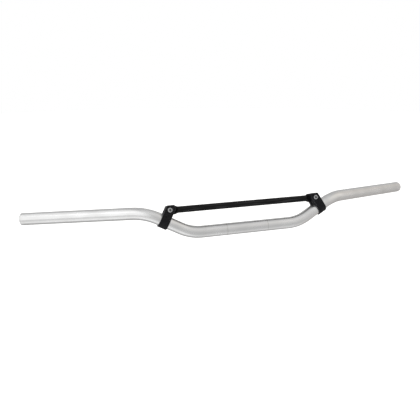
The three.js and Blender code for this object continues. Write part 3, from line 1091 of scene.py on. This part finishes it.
@dataclass
class Fasteners:
    """The socket-head screw, split washer and hexagon nut of one clamp, all M5."""

    stack: ClampStack
    gap: float = 0.3
    shank_radius: float = 2.5
    shank_length: float = 20.0
    pitch: float = 0.8
    thread_depth: float = 0.42
    head_radius: float = 4.2
    head_height: float = 5.0
    head_round: float = 0.6
    knurl_depth: float = 0.09
    socket_flats: float = 4.0
    socket_depth: float = 2.6
    socket_flare: float = 0.25
    drill_point: float = 0.7
    fillet: float = 0.25
    tip_length: float = 0.9
    tip_cone: float = 0.7
    pole: float = 0.05
    washer_radius: float = 4.55
    washer_bore: float = 2.6
    washer_thickness: float = 1.2
    washer_split: float = math.radians(14)
    nut_flats: float = 8.0
    nut_height: float = 4.0
    nut_bore: float = 2.6
    nut_chamfer: float = math.radians(30)
    thread_rows: int = 10
    washer_steps: int = 90
    around: int = 96

    def hexagon(self, flats: float) -> np.ndarray:
        """A hexagon's radius at each angle: half the flats over the cosine from the nearest flat."""
        angle = np.arange(self.around) * TURN / self.around
        return flats / 2 / np.cos((angle % (math.pi / 3)) - math.pi / 6)

    def round(self, radius: float) -> np.ndarray:
        """The same radius at every angle."""
        return np.full(self.around, radius)

    def thread(self, height: np.ndarray, crest: float, depth: float) -> np.ndarray:
        """A helical thread's radius.

        It falls from the crest by the depth times a triangle wave of height over pitch less angle over
        a full turn, and fades out over half a pitch at each end.

        Args:
            height: Heights along the axis in millimetres, (rows,).
            crest: The crest's radius.
            depth: The thread's depth.

        Returns:
            A (rows, around) array.
        """
        angle = np.arange(self.around) / self.around
        phase = (height[:, None] / self.pitch - angle[None, :]) % 1.0
        fade = np.clip(2 * np.minimum(height - height[0], height[-1] - height) / self.pitch, 0, 1)[:, None]
        return crest - depth * (1 - np.abs(2 * phase - 1)) * fade

    def loft(self, name: str, rows: list[tuple[np.ndarray, float]], closed: bool) -> bpy.types.Mesh:
        """A skin over rings, each given as its radii and its height."""
        profile = np.stack([np.column_stack((radii, self.round(height))) for radii, height in rows])
        return skin(name, turned_grid(profile, self.around), closed)

    def finish_piece(self, name: str, mesh: bpy.types.Mesh, seat: float, body: str, node: str) -> None:
        """Seat a fastener on the bolt axis and dress it.

        Args:
            name: The piece's name.
            mesh: Its mesh, drawn along y from its own front face.
            seat: Where its front face goes along the bolt, in millimetres.
            body: The body that it rides on.
            node: The CAD node that it stands for.
        """
        mesh.transform(Matrix.Translation((0, seat * MM, self.stack.bolt_offset * MM)))
        piece = make_object(name, mesh)
        self.stack.place(piece)
        shade(mesh, Shading.MACHINED)
        mesh.materials.append(self.stack.zinc)
        dressed(piece, body, node)

    def build_bolt(self) -> None:
        """Make the socket-head cap screw.

        Its rings run from the socket's floor out over the head and down the threaded shank to the tip.
        """
        label = self.stack.side.label
        crown, socket = -self.head_height, self.hexagon(self.socket_flats)
        floor = crown + self.socket_depth
        rows = [(self.round(self.pole), floor + self.drill_point), (socket * 0.97, floor),
                (socket, floor - 0.2), (socket, crown + 0.3), (socket + self.socket_flare, crown)]
        edge, rim = self.head_round, self.round(self.head_radius)
        turn = np.linspace(0, math.pi / 2, 6)
        rows += [(rim - edge + edge * math.sin(a), crown + edge - edge * math.cos(a)) for a in turn]
        grip = rim - self.knurl_depth * (np.arange(self.around) % 2)
        rows += [(grip, crown + 1.4 * edge), (grip, -0.55), (rim, -0.35), (rim - 0.2, 0.0),
                 (self.round(self.shank_radius + self.fillet), 0.0)]
        height = np.arange(0.2, self.shank_length - self.tip_length, self.pitch / self.thread_rows)
        radii = self.thread(height, self.shank_radius - 0.04, self.thread_depth)
        rows += list(zip(radii, height))
        rows += [(self.round(self.shank_radius - self.tip_cone), self.shank_length),
                 (self.round(self.pole), self.shank_length)]
        seat = self.stack.counterbore_floor - 2 * self.gap - self.washer_thickness
        mesh = self.loft(f"{label}_cap_screw", rows, closed=False)
        # The first four rings line the socket and are marked as the recess, which gets painted shade.
        mark_points(mesh, RECESS, (np.arange(len(mesh.vertices)) < 4 * self.around) * 1.0)
        self.finish_piece(f"{label}_cap_screw", mesh, seat, f"{label}_bolt", f"{label}_bolt")

    def build_nut(self) -> None:
        """Make the hexagon nut.

        Its rings run once round the nut's section: up the threaded bore, out over the rear face, down
        the flats, whose corners a 30 degree cone cuts back, and in under the front face.
        """
        label = self.stack.side.label
        flats = self.hexagon(self.nut_flats)
        rim = self.nut_flats / 2 - 0.15
        corner = np.maximum(flats - rim, 0) * math.tan(self.nut_chamfer)
        low, high = self.round(0.0), self.round(self.nut_height)
        bore = self.nut_bore + 0.5
        height = np.arange(0.45, self.nut_height - 0.4, self.pitch / self.thread_rows)
        threads = self.thread(height, self.nut_bore + self.thread_depth, self.thread_depth)
        rings = [(self.round(bore), low), (flats * 0 + rim, low), (flats, low + corner),
                 (flats, high - corner), (flats * 0 + rim, high), (self.round(bore), high)]
        rings += [(row, self.round(place)) for row, place in zip(threads[::-1], height[::-1])]
        profile = np.stack([np.column_stack(ring) for ring in rings])
        mesh = skin(f"{label}_hex_nut", turned_grid(profile, self.around), closed=True)
        mesh.transform(Matrix.Rotation(math.pi / 2, 4, "Y"))
        seat = self.stack.pocket_floor + self.gap
        self.finish_piece(f"{label}_hex_nut", mesh, seat, f"{label}_nut", f"{label}_nut")

    def build_washer(self) -> None:
        """Make the split lock washer: a square section with eased corners carried round most of a turn."""
        label = self.stack.side.label
        ease = 0.15
        inner, outer, thick = self.washer_bore, self.washer_radius, self.washer_thickness
        section = np.array([[inner + ease, 0], [outer - ease, 0], [outer, ease], [outer, thick - ease],
                            [outer - ease, thick], [inner + ease, thick], [inner, thick - ease],
                            [inner, ease]])
        angle = np.linspace(self.washer_split, TURN, self.washer_steps)[:, None]
        radius, height = section[:, 0], section[:, 1]
        x, z = radius * np.cos(angle), -radius * np.sin(angle)
        grid = np.stack(np.broadcast_arrays(x, height, z), axis=-1)
        mesh = skin(f"{label}_spring_washer", grid[:, ::-1])
        seat = self.stack.counterbore_floor - self.gap - self.washer_thickness
        self.finish_piece(f"{label}_spring_washer", mesh, seat, "handlebar", f"{label}_lock_washer")

    def build(self) -> None:
        """Make all three fasteners."""
        self.build_bolt()
        self.build_washer()
        self.build_nut()


# ---------------------------------------------------------------------------------------------
# The studio
# ---------------------------------------------------------------------------------------------


@dataclass(frozen=True)
class Softbox:
    """A large soft light, sized by the angles that it fills as the handlebar sees it, in degrees."""

    name: str
    azimuth: float
    elevation: float
    across: float
    up: float
    radiance: float
    colour: str = "#FFFFFF"
    distance: float = 4.0

    def build(self, target: Vector) -> None:
        """Make the light.

        Each side is twice the distance times the tangent of half its angle, and its power is radiance
        times pi times its area.

        Args:
            target: The point that it faces.
        """
        light = bpy.data.lights.new(self.name, "AREA")
        light.shape = "RECTANGLE"
        width, height = (2 * self.distance * math.tan(math.radians(a / 2)) for a in (self.across, self.up))
        light.size, light.size_y = width, height
        light.energy = self.radiance * math.pi * width * height
        light.color = linear(self.colour)[:3]
        lamp = bpy.data.objects.new(self.name, light)
        bpy.context.scene.collection.objects.link(lamp)
        direction = outward(self.azimuth, self.elevation)
        lamp.location = target + direction * self.distance
        lamp.rotation_euler = (-direction).to_track_quat("-Z", "Y").to_euler()


def outward(azimuth: float, elevation: float) -> Vector:
    """The direction from the object to a place; azimuth 0 is in front and 90 at the clutch side."""
    around, up = math.radians(azimuth), math.radians(elevation)
    return Vector((math.sin(around) * math.cos(up), -math.cos(around) * math.cos(up), math.sin(up)))


@dataclass
class Studio:
    """The pale floor, the white room, the soft lights and the camera."""

    floor_drop: float = 0.42
    floor_radius: float = 7.0
    floor_sides: int = 128
    floor_glow: float = 0.7
    room_front: float = 0.66
    room_rear: float = 0.5
    room_axis: tuple[float, float, float] = (0.1, -0.99, -0.1)
    floor_colour: str = "#F4F4F2"
    camera_azimuth: float = -16.06
    camera_elevation: float = 18.19
    camera_roll: float = -0.07
    camera_distance: float = 0.826
    aim: Vector = field(default_factory=lambda: Vector((-0.0625, 0.0288, 0.0302)))
    lens: float = 37.8
    sensor: float = 36.0
    lit_point: Vector = field(default_factory=lambda: Vector((0.0, 0.03, 0.02)))
    softboxes: tuple[Softbox, ...] = (
        Softbox("key_left", -48.0, 24.0, 62.0, 62.0, 0.62),
        Softbox("key_left_top", -84.0, 60.0, 60.0, 30.0, 0.62),
        Softbox("bounce_left", -60.0, -42.0, 80.0, 50.0, 0.29),
        Softbox("bounce_low", 0.0, -66.0, 90.0, 34.0, 0.27),
        Softbox("overhead", 50.0, 76.0, 50.0, 44.0, 0.26),
        Softbox("front_right", 44.0, 34.0, 60.0, 42.0, 0.13, "#FFF8F0"),
        Softbox("strip_right", 60.0, 24.0, 32.0, 56.0, 0.28, "#FFF8EA"),
        Softbox("side_right", 94.0, 36.0, 40.0, 44.0, 0.24, "#FFEEDC"),
        Softbox("bounce_right", 92.0, -20.0, 70.0, 60.0, 0.04, "#FFC890"),
        Softbox("rear_top", 180.0, 46.0, 110.0, 36.0, 0.12),
    )

    def build_floor(self) -> None:
        """A round pale floor, well below the handlebar, that doesn't show in the metal."""
        angle = np.arange(self.floor_sides) * TURN / self.floor_sides
        rim = np.column_stack((np.cos(angle), np.sin(angle), np.zeros_like(angle))) * self.floor_radius
        rim[:, 2] = CAD_BOX[0].z - self.floor_drop
        floor = make_object("floor", mesh_from("floor", rim / MM, [list(range(self.floor_sides))]))
        floor.data.materials.append(self.floor_material())
        floor.visible_glossy = False

    def floor_material(self) -> bpy.types.Material:
        """Matt white paper that glows a little, so that it stays as pale as the room.

        Returns:
            The material.
        """
        material, _, shader = new_material("white_paper_floor")
        shader.inputs["Base Color"].default_value = linear(self.floor_colour)
        shader.inputs["Roughness"].default_value = 1.0
        shader.inputs["Specular IOR Level"].default_value = 0.0
        shader.inputs["Emission Color"].default_value = (1.0, 1.0, 1.0, 1.0)
        shader.inputs["Emission Strength"].default_value = self.floor_glow
        return material

    def build_world(self) -> None:
        """A white room: white behind the object, and a soft grey where the metal reflects it.

        The grey brightens from the rear to the front by a smooth step of the direction's dot product
        with the room's axis.
        """
        world = bpy.data.worlds.new("studio")
        world.use_nodes = True
        tree = world.node_tree
        tree.nodes.clear()
        seen = add_node(tree, "LightPath").outputs["Is Camera Ray"]
        towards = add_node(tree, "TexCoord").outputs["Generated"]
        ahead = add_node(tree, "VectorMath", {"operation": "DOT_PRODUCT"}, {0: towards, 1: self.room_axis})
        grey = add_node(tree, "MapRange", {"interpolation_type": "SMOOTHSTEP"},
                        {"Value": ahead.outputs["Value"], "From Max": 0.5, "To Min": self.room_rear,
                         "To Max": self.room_front})
        strength = add_node(tree, "MapRange", inputs={"Value": seen, "To Min": grey.outputs[0]})
        white = add_node(tree, "Background", inputs={"Color": (1.0, 1.0, 1.0, 1.0),
                                                     "Strength": strength.outputs[0]})
        add_node(tree, "OutputWorld", inputs={"Surface": white.outputs[0]})
        bpy.context.scene.world = world

    def build_camera(self) -> None:
        """The camera, placed by its angles round the aim point."""
        camera = bpy.data.objects.new("camera", bpy.data.cameras.new("camera"))
        bpy.context.scene.collection.objects.link(camera)
        back = outward(self.camera_azimuth, self.camera_elevation)
        camera.location = self.aim + back * self.camera_distance
        turn = (-back).to_track_quat("-Z", "Y").to_matrix().to_4x4()
        camera.rotation_euler = (turn @ Matrix.Rotation(math.radians(self.camera_roll), 4, "Z")).to_euler()
        camera.data.lens = self.lens
        camera.data.sensor_width = self.sensor
        camera.data.clip_start, camera.data.clip_end = 0.01, 50.0
        bpy.context.scene.camera = camera

    def build(self) -> None:
        """Make the whole studio."""
        bpy.context.scene.view_settings.view_transform = "Standard"
        self.build_camera()
        self.build_world()
        self.build_floor()
        for softbox in self.softboxes:
            softbox.build(self.lit_point)


def main() -> None:
    """Build the studio, then the handlebar piece by piece."""
    logging.basicConfig(level=logging.INFO, format="%(message)s")
    Studio().build()
    line = BarLine()
    BarTube(line).build()
    casting, zinc = BlackCasting().build(), ZincPlate().build()
    stacks = [ClampStack(line, side, casting, zinc) for side in Side]
    Crossbar(line, stacks[0].bolt_axis).build()
    for stack in stacks:
        stack.build_clamp()
        Fasteners(stack).build()


if __name__ == "__main__":
    main()
